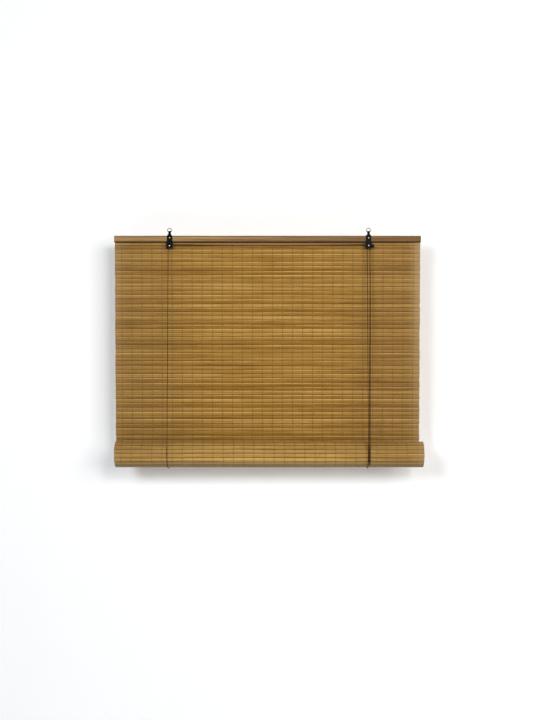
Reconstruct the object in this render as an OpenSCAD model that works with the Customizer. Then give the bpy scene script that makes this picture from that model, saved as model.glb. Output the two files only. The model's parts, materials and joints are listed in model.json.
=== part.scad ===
// Roll-up bamboo blind with a cord lock, in millimetres.
// X runs along the headrail, Y points back to the wall and Z points up.
// The origin is the middle of the headrail's rear face.

/* [Headrail] */
// Width of the headrail and of the bamboo mat
blind_w = 900; // [700:10:1600]
// Height of the two battens
batten_h = 18.5; // [17:0.5:24]
// Thickness of the front batten
front_batten_t = 11; // [10:0.5:18]
// Thickness of the rear batten
rear_batten_t = 6; // [6:0.5:12]
// Rounding of the battens' long edges
batten_edge_r = 1.6; // [0.6:0.1:2.2]
// Depth of the mat's top edge below the top of the battens
mat_set_down = 2.25; // [0.5:0.25:4]
// Number of nails that hold the battens together
nail_count = 6; // [4:2:10]
// Distance from the end of the headrail to its first nail
nail_inset = 36; // [25:1:80]
// Diameter of a nail's shank
nail_d = 1.6; // [1.2:0.1:2.4]
// Diameter of a nail's head
nail_head_d = 3.6; // [3:0.1:5]
// Thickness of a nail's head
nail_head_t = 0.7; // [0.5:0.1:1.2]
// How deep a nail enters the front batten
nail_bite = 7; // [4:0.5:9]

/* [Bamboo mat] */
// Distance from one slat to the next
slat_pitch = 12.25; // [10:0.05:15]
// Open gap between two slats
slat_gap = 0.9; // [0.5:0.1:1.6]
// Thickness of a slat at its crown
slat_t = 2.4; // [1.8:0.1:3]
// Thickness of a slat at its edges
slat_edge_t = 1.2; // [0.8:0.1:1.6]
// Slats that hang between the top of the headrail and the roll
hanging_slats = 52; // [30:1:58]
// Number of warp threads across the mat
thread_count = 30; // [16:1:36]
// Distance from the mat's edge to its first warp thread
thread_inset = 20.5; // [10:0.5:40]
// Width of a warp thread
thread_w = 1.2; // [0.8:0.1:1.8]
// How far a warp thread stands off the slats
thread_t = 0.5; // [0.3:0.1:0.8]
// Stretch of wall left between the two slits of a gap
slit_bridge = 8; // [4:1:20]
// Stretch of wall left between a slit and the mat's edge
slit_end = 6; // [4:1:15]

/* [Roll] */
// Slats wound up in the roll
rolled_slats = 88; // [60:1:110]
// Air between two turns of the roll
turn_gap = 1.4; // [1.1:0.1:2]
// How far the roll lies to the right of the mat
roll_shift = 5; // [-10:0.5:10]
// Diameter of the rod in the middle of the roll
rod_d = 20; // [16:0.5:28]

/* [Brackets] */
// Distance from the left end of the headrail to the left bracket
left_inset = 163; // [100:1:200]
// Distance from the right end of the headrail to the lock bracket
right_inset = 154; // [100:1:200]
// Thickness of the sheet steel
sheet_t = 1.2; // [1:0.1:1.6]
// Width of a bracket on the headrail
bracket_w = 16; // [14:0.5:18]
// Width of a bracket's neck
neck_w = 7.5; // [6:0.5:8]
// Height of the slope from the bracket's body to its neck
shoulder_h = 5; // [3:0.5:6]
// Half the width of the housing round a pulley, and its reach below the axle
housing_r = 9.2; // [8.6:0.1:9.8]
// Height of the cord window between the housing's two ears
window_h = 4.2; // [3.4:0.2:5]
// Depth of the pulley's axle below the headrail
axle_drop = 11.25; // [10.5:0.25:14]
// Height of the rolled eye's axis above the headrail
eye_rise = 10.25; // [9.5:0.25:14]
// Bore of the rolled eye
eye_d = 4.4; // [4.2:0.1:5.2]
// Diameter of the hanging ring on the middle of its wire
ring_d = 12; // [11.5:0.5:16]
// Diameter of the hanging ring's wire
ring_wire_d = 1.8; // [1.4:0.1:1.9]
// Height of the bracket screw above the middle of the headrail
screw_rise = 3; // [2:0.5:4.5]
// Diameter of a bracket screw
screw_d = 3; // [2.5:0.1:3.5]
// Diameter of a bracket screw's head
screw_head_d = 6; // [5:0.1:7]
// How deep a bracket screw enters the front batten
screw_bite = 8; // [6:0.5:9]

/* [Pulleys and lock] */
// Diameter of the cords
cord_d = 2; // [1.6:0.1:2.2]
// Radius at which a cord runs round its pulley
cord_run_r = 4; // [3.6:0.1:4.4]
// Diameter of the left pulley's flanges
pulley_d = 12.4; // [11:0.2:13]
// Diameter of the lock roller's flanges
roller_d = 8.8; // [8:0.1:9]
// Thickness of a pulley's outer flange
flange_t = 1.1; // [0.9:0.1:1.5]
// Thickness of the rib between the lock roller's two grooves
rib_t = 0.8; // [0.6:0.1:1.2]
// Diameter of the pulley rivets
rivet_d = 3; // [2.4:0.1:3.2]
// Diameter of a pulley rivet's head
rivet_head_d = 6.6; // [5.5:0.1:8]
// Distance from the roller's axle to the cam's pin
cam_offset = 11.5; // [11:0.1:12.5]
// Depth of the cam's pin below the roller's axle
cam_drop = 1.5; // [1:0.1:3]
// Diameter of the cam's pin
cam_pin_d = 2.4; // [2:0.1:2.8]
// Radius of the cam's smooth back
cam_back_r = 3.8; // [3.2:0.1:4.4]
// Depth of the cam's teeth
tooth_h = 0.8; // [0.5:0.1:1.2]
// Number of teeth on the cam
tooth_count = 8; // [5:1:10]

/* [Hidden] */
$fn = 48;

// Clearances
running_play = 0.05;
side_play = 0.4;
cord_play = 0.3;
seat_play = 0.3;
hole_play = 0.1;
slit_edge = 0.05;
cut_over = 1;

// Colours
bamboo = "#9b7339";
bamboo_roll = "#9f8048";
thread_brown = "#6e4b22";
batten_wood = "#8c6d43";
black_steel = "#17161a";
bright_steel = "#d2d0ca";
cord_brown = "#5d4632";

// Depths from the wall forwards
mat_y = -rear_batten_t - thread_t - slat_t / 2;
front_batten_back = mat_y - slat_t / 2 - thread_t;
rail_front = front_batten_back - front_batten_t;
plate_front = rail_front - sheet_t;
groove_w = cord_d + 2 * cord_play;
groove_flare = 0.12;
groove_y = plate_front - side_play - flange_t - groove_w / 2;
second_groove_y = groove_y - groove_w - rib_t;
pulley_w = 2 * flange_t + groove_w;
roller_w = pulley_w + groove_w + rib_t;
pulley_depth = pulley_w + 2 * side_play;
roller_depth = roller_w + 2 * side_play;

// Heights
mat_top = batten_h / 2 - mat_set_down;
mat_bottom = mat_top - hanging_slats * slat_pitch;
axle_z = -batten_h / 2 - axle_drop;
eye_z = batten_h / 2 + eye_rise;
eye_y = rail_front - sheet_t / 2;
shoulder_z = batten_h / 2 + shoulder_h;
step_z = axle_z + pulley_d / 2 + 2 * side_play;

// Places along the headrail
left_x = -blind_w / 2 + left_inset;
right_x = blind_w / 2 - right_inset;
thread_step = (blind_w - 2 * thread_inset) / (thread_count - 1);
nail_step = (blind_w - 2 * nail_inset) / (nail_count - 1);

// Slat section: width, and half of its outline from one edge to the other
slat_w = slat_pitch - slat_gap;
slat_half = [
    [-slat_w / 2, slat_edge_t / 2], [-slat_w / 4, slat_t / 2],
    [slat_w / 4, slat_t / 2], [slat_w / 2, slat_edge_t / 2]
];

// Spiral of the roll: corners between slats, from the rod outwards
turn_pitch = slat_t + turn_gap;
roll_start_r = norm([rod_d / 2 + seat_play + slat_t / 2, slat_pitch / 2]);
function turn_r(a) = roll_start_r + turn_pitch * a / 360;
function slat_turn(a) = 2 * asin(slat_pitch / 2 / turn_r(a));
corner_angles = [for (k = 0, a = 0; k <= rolled_slats; k = k + 1, a = a + slat_turn(a)) a];
end_angle = corner_angles[rolled_slats];
end_r = turn_r(end_angle);
roll_axis = [mat_y - end_r, mat_bottom];
function corner(k) =
    roll_axis + turn_r(corner_angles[k])
    * [cos(corner_angles[k] - end_angle), sin(corner_angles[k] - end_angle)];

// Slats as frames in the YZ plane: [middle of the slat, direction along its width]
function unit(v) = v / norm(v);
function right_of(v) = [v[1], -v[0]];
hanging_frames = [
    for (k = [0 : hanging_slats - 1]) [[mat_y, mat_bottom + (k + 0.5) * slat_pitch], [0, 1]]
];
rolled_frames = [
    for (k = [0 : rolled_slats - 1]) [(corner(k) + corner(k + 1)) / 2, unit(corner(k + 1) - corner(k))]
];
outer_frames = [
    for (k = [0 : rolled_slats - 1]) if (corner_angles[k] > end_angle - 360 + slat_turn(end_angle)) rolled_frames[k]
];
function frame_point(f, p, side) = f[0] + p[0] * f[1] + side * p[1] * right_of(f[1]);
function slat_side(f, side) = [for (p = slat_half) frame_point(f, p, side)];
function reversed(list) = [for (i = [len(list) - 1 : -1 : 0]) list[i]];
function wall_outline(frames) = concat(
    [for (f = frames) each slat_side(f, 1)],
    reversed([for (f = frames) each slat_side(f, -1)])
);
function thread_side(frames, lift) = [
    for (f = frames) for (u = [-slat_w / 4, slat_w / 4]) frame_point(f, [u, slat_t / 2 + lift], 1)
];

// Lift cords: the sling's radius round the roll, and where it ends in front of the roll
roll_reach = max([for (p = wall_outline(rolled_frames)) norm(p - roll_axis)]);
sling_r = roll_reach + thread_t + cord_play + cord_d / 2;
sling_top = 168;
sling_front = roll_axis + sling_r * [cos(sling_top), sin(sling_top)];
back_strand_y = roll_axis[0] + sling_r;
left_strand_x = left_x - cord_run_r;
right_strand_x = right_x - cord_run_r;
pull_x = right_x + cord_run_r;
strand_kink = 0.15;

// Pull cords: routes from the lock down to the front of the roll, then a hanging end
inner_route = [
    [300, -24.4, -20.5], [300, -24.7, -40], [299.8, -30.5, -110], [299, -40.5, -210], [298, -51.2, -310],
    [297, -61.3, -400], [296, -71.8, -490], [295.2, -80.1, -560], [294.6, -87, -622.8]
];
outer_route = [
    [300, -27.8, -20.5], [300, -28.1, -40], [300.2, -33.5, -110], [300, -43, -210], [299.4, -53.2, -310],
    [298.7, -62.8, -400], [298, -72.8, -490], [297.4, -80.6, -560], [297, -87, -622.8]
];
tail_xs = [294.6, 297];
tail_bend = [[-87.1, -623.2], [-87.5, -626.4], [-87.6, -630], [-87.6, -641]];
route_rings = 39;
tail_rings = 9;
knot_d = 6;
knot_h = 7;
tail_end = 9;

// Cam: the radius that just clears the cords, and how much it grows over a turn of one degree
cam_touch_r = cam_offset - cord_run_r - cord_d / 2 - cord_play;
cam_growth = 0.012;
cam_first_angle = 140;
cam_last_angle = 236;
tooth_step = (cam_last_angle - cam_first_angle) / tooth_count;
wing_r = 4.5;

// Width of an ear of the housing, outside the cords
ear_w = housing_r - cord_run_r - cord_d / 2 - cord_play;

// Points on an arc
function arc(centre, r, from, to, steps) =
    [for (i = [0 : steps]) let (a = from + (to - from) * i / steps) centre + r * [cos(a), sin(a)]];

// Outline of a rectangle with rounded corners, from its lowest corner
function rounded_box(w, h, r) = concat(
    arc([w - r, r], r, -90, 0, 4), arc([w - r, h - r], r, 0, 90, 4),
    arc([r, h - r], r, 90, 180, 4), arc([r, r], r, 180, 270, 4)
);

// Draws a YZ outline along X, centred on x
module along_x(length, x = 0) {
    translate([x - length / 2, 0, 0]) rotate([90, 0, 90]) linear_extrude(length) children();
}

// Draws an XZ outline as a sheet, from its back face forwards
module sheet(back, thickness) {
    translate([0, back, 0]) rotate([90, 0, 0]) linear_extrude(thickness) children();
}

// Round bar along Y, from its back end forwards
module bar_y(x, z, back, length, d) {
    translate([x, back, z]) rotate([90, 0, 0]) cylinder(d = d, h = length);
}

// Low dome that faces forwards, from its flat back
module dome_y(x, z, back, d, h) {
    cap_r = (d * d / 4 + h * h) / (2 * h);
    cap_angle = asin(d / 2 / cap_r);
    profile = concat([[0, 0]], arc([0, h - cap_r], cap_r, 90 - cap_angle, 90, 6));
    translate([x, back, z]) rotate([90, 0, 0]) rotate_extrude() polygon(profile);
}

// Nails sit midway between two warp threads
thread_phase = thread_count % 2 == 0 ? 0 : 0.5;
function clear_of_threads(x) = thread_step * (round(x / thread_step - thread_phase) + thread_phase);
nail_xs = [for (i = [0 : nail_count - 1]) clear_of_threads(-blind_w / 2 + nail_inset + i * nail_step)];
nail_z = mat_top - slat_pitch / 2;

module nail_holes() {
    for (x = nail_xs) bar_y(x, nail_z, cut_over, -rail_front, nail_d + 2 * hole_play);
}

module front_batten() {
    color(batten_wood) difference() {
        along_x(blind_w) translate([rail_front, -batten_h / 2])
            polygon(rounded_box(front_batten_t, batten_h, batten_edge_r));
        for (x = nail_xs)
            bar_y(x, nail_z, front_batten_back + cut_over, nail_bite + cut_over + hole_play, nail_d + 2 * hole_play);
        for (x = [left_x, right_x])
            bar_y(x, screw_rise, rail_front + screw_bite + hole_play, screw_bite + cut_over + hole_play,
                screw_d + 2 * hole_play);
    }
}

module rear_batten() {
    color(batten_wood) difference() {
        along_x(blind_w) translate([-rear_batten_t, -batten_h / 2])
            polygon(rounded_box(rear_batten_t, batten_h, batten_edge_r));
        nail_holes();
        for (x = nail_xs)
            bar_y(x, nail_z, cut_over, nail_head_t + cut_over + hole_play, nail_head_d + 2 * hole_play);
    }
}

module batten_nails() {
    color(bright_steel) for (x = nail_xs) {
        bar_y(x, nail_z, 0, -front_batten_back + nail_bite, nail_d);
        bar_y(x, nail_z, 0, nail_head_t, nail_head_d);
    }
}

// Hanging wall of slats, open between one slat and the next
module slat_mat() {
    slit_l = blind_w / 2 - slit_end - slit_bridge / 2;
    slit_h = slat_gap - 2 * slit_edge;
    color(bamboo) difference() {
        along_x(blind_w) polygon(wall_outline(hanging_frames));
        for (k = [1 : hanging_slats - 1])
            let (z = mat_bottom + k * slat_pitch)
                if (z < -batten_h / 2 - slat_gap)
                    for (x = [-slit_bridge / 2 - slit_l, slit_bridge / 2])
                        translate([x, mat_y - slat_t, z - slit_h / 2]) cube([slit_l, 2 * slat_t, slit_h]);
        nail_holes();
    }
}

module warp_threads() {
    low = mat_bottom + slat_pitch / 2 - slat_w / 4;
    high = mat_top - slat_gap / 2;
    color(thread_brown) for (i = [0 : thread_count - 1])
        for (y = [mat_y - slat_t / 2 - thread_t, mat_y + slat_t / 2])
            translate([-blind_w / 2 + thread_inset + i * thread_step - thread_w / 2, y, low])
                cube([thread_w, thread_t, high - low]);
}

// The rolled-up end of the mat: one spiral wall of slats
module mat_roll() {
    color(bamboo_roll) along_x(blind_w, roll_shift) polygon(wall_outline(rolled_frames));
}

module roll_threads() {
    band = concat(thread_side(outer_frames, 0), reversed(thread_side(outer_frames, thread_t)));
    color(thread_brown) for (i = [0 : thread_count - 1])
        along_x(thread_w, roll_shift - blind_w / 2 + thread_inset + i * thread_step) polygon(band);
}

module bottom_rod() {
    color(batten_wood) translate([roll_shift - blind_w / 2, roll_axis[0], roll_axis[1]])
        rotate([0, 90, 0]) cylinder(d = rod_d, h = blind_w);
}

// Outline of a bracket: housing, body, shoulders and neck
module bracket_outline(x, wing) {
    housing(x, axle_drop, wing);
    translate([x - bracket_w / 2, axle_z]) square([bracket_w, batten_h / 2 - axle_z]);
    translate([x, 0]) polygon([
        [-bracket_w / 2, batten_h / 2], [bracket_w / 2, batten_h / 2],
        [neck_w / 2, shoulder_z], [neck_w / 2, eye_z], [-neck_w / 2, eye_z], [-neck_w / 2, shoulder_z]
    ]);
}

// Outline of the housing round a pulley: straight sides and two round ears with the cord window
// between them, and a wing for the cam
module housing(x, rise, wing) {
    ear_r = ear_w / 2;
    ear_z = -housing_r + ear_r;
    window_z = -housing_r + window_h;
    translate([x, axle_z]) {
        translate([-housing_r, window_z]) square([2 * housing_r, rise - window_z]);
        for (side = [-1, 1]) translate([side * (housing_r - ear_r), 0]) {
            translate([0, ear_z]) circle(ear_r);
            translate([-ear_r, ear_z]) square([ear_w, window_z - ear_z]);
        }
        if (wing) {
            translate([cam_offset, -cam_drop]) circle(wing_r);
            polygon([
                [housing_r - ear_w, rise], [cam_offset, wing_r - cam_drop],
                [cam_offset, -wing_r - cam_drop], [housing_r - ear_w, ear_z]
            ]);
        }
    }
}

// Stamped plate with a rolled eye at the top of its neck
module bracket(x, wing) {
    color(black_steel) difference() {
        union() {
            sheet(rail_front, sheet_t) bracket_outline(x, wing);
            translate([x - neck_w / 2, eye_y, eye_z]) rotate([0, 90, 0])
                cylinder(d = eye_d + 2 * sheet_t, h = neck_w);
        }
        translate([x - neck_w / 2 - cut_over, eye_y, eye_z]) rotate([0, 90, 0])
            cylinder(d = eye_d, h = neck_w + 2 * cut_over);
        bracket_holes(x, wing);
    }
}

// Holes through bracket and cover for the rivet, the screw and the cam's pin
module bracket_holes(x, wing) {
    depth = roller_depth + 3 * sheet_t + 2 * cut_over;
    bar_y(x, axle_z, rail_front + cut_over, depth, rivet_d + 2 * running_play);
    bar_y(x, screw_rise, rail_front + cut_over, depth, screw_d + 2 * hole_play);
    if (wing) bar_y(x + cam_offset, axle_z - cam_drop, rail_front + cut_over, depth, cam_pin_d + 2 * running_play);
}

// Folded cover: a tab under the screw, a step forwards and a cheek in front of the pulley
module cover(x, depth, wing) {
    tab_w = bracket_w - 3;
    tab_top = screw_rise + screw_head_d / 2;
    cheek_y = plate_front - depth;
    color(black_steel) difference() {
        union() {
            sheet(plate_front, sheet_t) translate([x - tab_w / 2, step_z]) square([tab_w, tab_top - step_z]);
            sheet(plate_front, depth + sheet_t) translate([x - tab_w / 2, step_z]) square([tab_w, sheet_t]);
            sheet(cheek_y, sheet_t) housing(x, step_z + sheet_t - axle_z, wing);
        }
        bracket_holes(x, wing);
    }
}

// Grooved wheel that turns on a rivet; its grooves widen towards the rim
module wheel(x, flange_d, groove_ys, width) {
    back = plate_front - side_play;
    bore_r = rivet_d / 2 + running_play;
    floor_r = cord_run_r - cord_d / 2 - cord_play;
    rim_r = flange_d / 2;
    floor_half = groove_w / 2;
    rim_half = floor_half + groove_flare * (rim_r - floor_r);
    grooves = [
        for (y = groove_ys) let (middle = back - y) each [
            [rim_r, middle - rim_half], [floor_r, middle - floor_half],
            [floor_r, middle + floor_half], [rim_r, middle + rim_half]
        ]
    ];
    profile = concat([[bore_r, 0], [rim_r, 0]], grooves, [[rim_r, width], [bore_r, width]]);
    color(black_steel) translate([x, back, axle_z]) rotate([90, 0, 0]) rotate_extrude() polygon(profile);
}

// Rivet through bracket and cover: flat tail, shank and domed head
module rivet(x, z, d, head_d, depth) {
    tail_t = 0.8;
    head_h = 0.27 * head_d;
    bar_y(x, z, rail_front, depth + 2 * sheet_t, d);
    bar_y(x, z, rail_front + tail_t, tail_t, d * 1.6);
    dome_y(x, z, plate_front - depth - sheet_t, head_d, head_h);
}

module screw(x) {
    head_back = plate_front - sheet_t;
    color(bright_steel) {
        bar_y(x, screw_rise, rail_front + screw_bite, screw_bite + 2 * sheet_t, screw_d);
        dome_y(x, screw_rise, head_back, screw_head_d, 0.3 * screw_head_d);
    }
}

// Ring of round wire that hangs in the rolled eye
module ring(x) {
    mouth = neck_w / 2;
    wire_r = ring_wire_d / 2;
    mid_r = ring_d / 2;
    mouth_rise = mid_r - sqrt((mid_r - wire_r) * (mid_r - wire_r) - mouth * mouth);
    low = eye_d / 2 - cord_play - mouth_rise;
    color(bright_steel) translate([x, eye_y, eye_z + low + mid_r]) rotate([90, 0, 0])
        rotate_extrude() translate([mid_r, 0]) circle(wire_r);
}

// Toothed cam that jams the cords against the roller
module lock_cam() {
    teeth = [
        for (i = [0 : tooth_count - 1]) let (
            a = cam_first_angle + i * tooth_step,
            r = cam_touch_r + cam_growth * (a - 180)
        ) each [r * [cos(a), sin(a)], (r - tooth_h) * [cos(a + 0.8 * tooth_step), sin(a + 0.8 * tooth_step)]]
    ];
    smooth_back = arc([0, 0], cam_back_r, cam_last_angle + tooth_step, cam_first_angle + 360 - tooth_step, 16);
    back = plate_front - side_play;
    color(black_steel) difference() {
        sheet(back, roller_w) translate([right_x + cam_offset, axle_z - cam_drop])
            polygon(concat(teeth, smooth_back));
        bar_y(right_x + cam_offset, axle_z - cam_drop, back + cut_over, roller_w + 2 * cut_over,
            cam_pin_d + 2 * running_play);
    }
}

// Straight length of cord from one point to another
module strand(from, to) {
    v = to - from;
    translate(from) rotate([0, acos(v[2] / norm(v)), atan2(v[1], v[0])]) cylinder(d = cord_d, h = norm(v));
}

// Length of cord bent round the roll's axis in a YZ plane, from one angle to another
module cord_round_roll(x, from, to) {
    translate([x, roll_axis[0], roll_axis[1]]) rotate([90, 0, 90]) rotate([0, 0, from])
        rotate_extrude(angle = to - from) translate([sling_r, 0]) circle(d = cord_d);
}

// Length of cord bent round a pulley's axle in an XZ plane, from one angle to another
module cord_round_pulley(x, y, from, to) {
    translate([x, y, axle_z]) rotate([90, 0, 0]) rotate([0, 0, from])
        rotate_extrude(angle = to - from) translate([cord_run_r, 0]) circle(d = cord_d);
}

module back_strand(x) {
    color(cord_brown) strand([x, back_strand_y, roll_axis[1]], [x, back_strand_y, -batten_h / 2]);
}

module sling(x) {
    color(cord_brown) cord_round_roll(x, sling_top, 360);
}

module front_strand(x, y) {
    low = [x, sling_front[0], sling_front[1]];
    high = [x, y, axle_z - strand_kink];
    color(cord_brown) strand(low + strand_kink * unit(high - low), high);
}

// Left lift cord from its pulley along the headrail and over the lock roller
module cross_cord() {
    run_z = axle_z + cord_run_r;
    color(cord_brown) {
        cord_round_pulley(left_x, groove_y, 90, 180);
        strand([left_x, groove_y, run_z], [right_x, groove_y, run_z]);
        cord_round_pulley(right_x, groove_y, 0, 90);
    }
}

// Right lift cord over the lock roller
module lock_cord() {
    color(cord_brown) cord_round_pulley(right_x, second_groove_y, 0, 180);
}

// Point on a smooth curve through the route's points, at a share of the way from its start
function route_point(route, share) = let (
    last = len(route) - 1,
    at = min(share * last, last - 0.000001),
    i = floor(at),
    t = at - i,
    a = route[max(i - 1, 0)], b = route[i], c = route[i + 1], d = route[min(i + 2, last)]
) 0.5 * (2 * b + (c - a) * t + (2 * a - 5 * b + 4 * c - d) * t * t + (3 * b - a - 3 * c + d) * t * t * t);

// Free cord swept along a route
module pull_cord(route, rings) {
    sides = 8;
    middles = [for (i = [0 : rings]) route_point(route, i / rings)];
    points = [
        for (i = [0 : rings]) let (
            ahead = unit(middles[min(i + 1, rings)] - middles[max(i - 1, 0)]),
            u = unit(cross([0, 1, 0], ahead)),
            v = cross(ahead, u)
        ) for (j = [0 : sides - 1])
            middles[i] + cord_d / 2 * (cos(360 * j / sides) * u + sin(360 * j / sides) * v)
    ];
    walls = [
        for (i = [0 : rings - 1]) for (j = [0 : sides - 1]) let (k = (j + 1) % sides)
            [i * sides + j, (i + 1) * sides + j, (i + 1) * sides + k, i * sides + k]
    ];
    first_cap = [for (j = [0 : sides - 1]) j];
    last_cap = [for (j = [sides - 1 : -1 : 0]) rings * sides + j];
    color(cord_brown) polyhedron(points, concat([first_cap], walls, [last_cap]));
}

// Ends of the pull cords: over the front of the roll, down to the knot and out below it
module pull_tails() {
    bend_end = tail_bend[len(tail_bend) - 1];
    for (x = tail_xs) {
        pull_cord([for (p = tail_bend) [x, p[0], p[1]]], tail_rings);
        color(cord_brown) translate([x, bend_end[0], bend_end[1] - knot_h - tail_end])
            cylinder(d = cord_d, h = tail_end);
    }
}

module pull_knot() {
    waist = 0.8 * knot_d / 2;
    profile = concat(
        [[0, 0], [waist, 0]],
        arc([waist - knot_h / 2 + knot_d / 2 - waist, knot_h / 2], knot_h / 2, -50, 50, 8),
        [[waist, knot_h], [0, knot_h]]
    );
    bend_end = tail_bend[len(tail_bend) - 1];
    color(cord_brown) translate([(tail_xs[0] + tail_xs[1]) / 2, bend_end[0], bend_end[1] - knot_h])
        rotate_extrude() polygon(profile);
}

front_batten();
rear_batten();
batten_nails();
slat_mat();
warp_threads();
mat_roll();
roll_threads();
bottom_rod();
bracket(left_x, false);  // left_bracket
cover(left_x, pulley_depth, false);  // left_cover
wheel(left_x, pulley_d, [groove_y], pulley_w);  // left_pulley
color(bright_steel) rivet(left_x, axle_z, rivet_d, rivet_head_d, pulley_depth);  // left_rivet
screw(left_x);  // left_screw
ring(left_x);  // left_ring
bracket(right_x, true);  // lock_bracket
cover(right_x, roller_depth, true);  // lock_cover
wheel(right_x, roller_d, [groove_y, second_groove_y], roller_w);  // lock_roller
color(bright_steel) rivet(right_x, axle_z, rivet_d, rivet_head_d, roller_depth);  // lock_rivet
screw(right_x);  // lock_screw
ring(right_x);  // right_ring
lock_cam();
color(black_steel) rivet(right_x + cam_offset, axle_z - cam_drop, cam_pin_d, 2 * cam_pin_d, roller_depth);  // cam_pin
back_strand(left_strand_x);  // left_back_strand
back_strand(right_strand_x);  // right_back_strand
sling(left_strand_x);  // left_sling
sling(right_strand_x);  // right_sling
front_strand(left_strand_x, groove_y);  // left_front_strand
front_strand(right_strand_x, second_groove_y);  // right_front_strand
cross_cord();
lock_cord();
pull_cord(inner_route, route_rings);  // pull_cord_inner
pull_cord(outer_route, route_rings);  // pull_cord_outer
pull_tails();
pull_knot();
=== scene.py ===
# %% [markdown]
# A roll-up bamboo blind. The imported CAD model is loaded as a fixed frame, and every piece that is
# made here is set on it in metres. X runs to the right, Y back to the wall and Z up, and the
# origin is the middle of the headrail's rear face.

# %% Load the imported frame
import json
import math
import random

import bmesh
import bpy
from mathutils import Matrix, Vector


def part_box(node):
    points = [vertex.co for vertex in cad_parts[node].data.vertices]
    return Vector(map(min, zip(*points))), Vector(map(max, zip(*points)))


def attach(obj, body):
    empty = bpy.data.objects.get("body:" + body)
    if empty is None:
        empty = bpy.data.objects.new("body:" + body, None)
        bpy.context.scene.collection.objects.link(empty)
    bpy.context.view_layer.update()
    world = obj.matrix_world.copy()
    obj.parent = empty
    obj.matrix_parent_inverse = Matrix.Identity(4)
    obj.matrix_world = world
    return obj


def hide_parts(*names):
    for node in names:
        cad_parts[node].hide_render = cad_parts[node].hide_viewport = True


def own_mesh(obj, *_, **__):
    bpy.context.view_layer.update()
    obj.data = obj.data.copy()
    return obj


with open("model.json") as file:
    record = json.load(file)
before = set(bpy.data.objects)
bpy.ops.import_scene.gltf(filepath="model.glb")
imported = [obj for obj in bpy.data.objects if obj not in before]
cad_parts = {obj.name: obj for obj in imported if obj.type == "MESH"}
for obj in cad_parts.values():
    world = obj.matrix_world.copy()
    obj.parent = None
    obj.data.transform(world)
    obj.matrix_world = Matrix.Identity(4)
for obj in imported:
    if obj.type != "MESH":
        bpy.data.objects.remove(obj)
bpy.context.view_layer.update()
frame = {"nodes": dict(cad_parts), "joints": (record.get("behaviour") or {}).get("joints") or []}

MM = 0.001

# %% [markdown]
# The camera stands three metres in front of the blind, a little below the headrail, and looks down
# by two degrees. Its place was worked out from the corners of the headrail, the edges of the mat
# and the outline of the roll. The picture is 540 by 720, so the lens goes with its height.

# %% Camera
IMAGE_H, FOCAL_PX = 720, 1023.0
SENSOR_H = 36.0
EYE_PLACE, EYE_DOWN = (0.00725, -3.0315, -0.2319), 2.349


def into_scene(name, data):
    """A new object in the scene."""
    thing = bpy.data.objects.new(name, data)
    bpy.context.scene.collection.objects.link(thing)
    return thing


eye = bpy.data.cameras.new("eye")
eye.sensor_fit, eye.sensor_height = "VERTICAL", SENSOR_H
eye.lens = FOCAL_PX / IMAGE_H * SENSOR_H
camera = into_scene("camera", eye)
camera.location = EYE_PLACE
camera.rotation_euler = (math.radians(90 - EYE_DOWN), 0, 0)
bpy.context.scene.camera = camera
print("lens", round(eye.lens, 2), "mm")

# %% [markdown]
# Shader maths is easier to read as sums than as rows of new nodes. This class holds one socket of
# a material, and the operators on it add Math nodes. Every other node comes from its method
# `add`, which sets the node's settings first and then its sockets.

# %% A socket that can be used in sums


class Tint:
    """One socket of a material or of the world."""

    def __init__(self, tree, out):
        self.tree, self.out = tree, out

    def add(self, kind, settings=None, sockets=None, out=0):
        node = self.tree.nodes.new(kind)
        for key, value in (settings or {}).items():
            if key == "stops":
                ramp = node.color_ramp.elements
                while len(ramp) < len(value):
                    ramp.new(0.5)
                for stop, (place, colour) in zip(ramp, value):
                    stop.position, stop.color = place, colour
            else:
                setattr(node, key, value)
        for key, value in (sockets or {}).items():
            if isinstance(value, Tint):
                self.tree.links.new(value.out, node.inputs[key])
            else:
                node.inputs[key].default_value = value
        return Tint(self.tree, node.outputs[out])

    def math(self, operation, first, second=0.0):
        return self.add("ShaderNodeMath", {"operation": operation}, {0: first, 1: second})

    def __add__(self, other):
        return self.math("ADD", self, other)

    def __sub__(self, other):
        return self.math("SUBTRACT", self, other)

    def __rsub__(self, other):
        return self.math("SUBTRACT", other, self)

    def __mul__(self, other):
        return self.math("MULTIPLY", self, other)

    def __truediv__(self, other):
        return self.math("DIVIDE", self, other)

    def __rtruediv__(self, other):
        return self.math("DIVIDE", other, self)

    def __abs__(self):
        return self.math("ABSOLUTE", self)

    __radd__, __rmul__ = __add__, __mul__


print("shader sums ready")

# %% [markdown]
# Every finish on the blind is one Principled shader. What is the same all over a surface is set on
# the shader's own sockets, and what changes over it is plugged in. Colours are written as a picture
# shows them, from 0 to 255, and turned into the linear numbers that a shader takes.

# %% A finish and its colours


def srgb(red, green, blue):
    """A colour as a picture shows it, 0 to 255, as the linear colour that a shader takes."""
    parts = [v / 255 for v in (red, green, blue)]
    linear = [v / 12.92 if v <= 0.04045 else ((v + 0.055) / 1.055) ** 2.4 for v in parts]
    return (*linear, 1.0)


def new_finish(name, **plain):
    """A material with one shader: its first socket for sums, its shader node, the material."""
    material = bpy.data.materials.new(name)
    material.use_nodes = True
    tree = material.node_tree
    tree.nodes.clear()
    shader = tree.nodes.new("ShaderNodeBsdfPrincipled")
    for key, value in plain.items():
        shader.inputs[key.replace("_", " ")].default_value = value
    output = tree.nodes.new("ShaderNodeOutputMaterial")
    tree.links.new(shader.outputs[0], output.inputs[0])
    return Tint(tree, shader.outputs[0]), shader, material


def plug(shader, key, tint):
    tint.tree.links.new(tint.out, shader.inputs[key])


print("pure white is", srgb(255, 255, 255))

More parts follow.
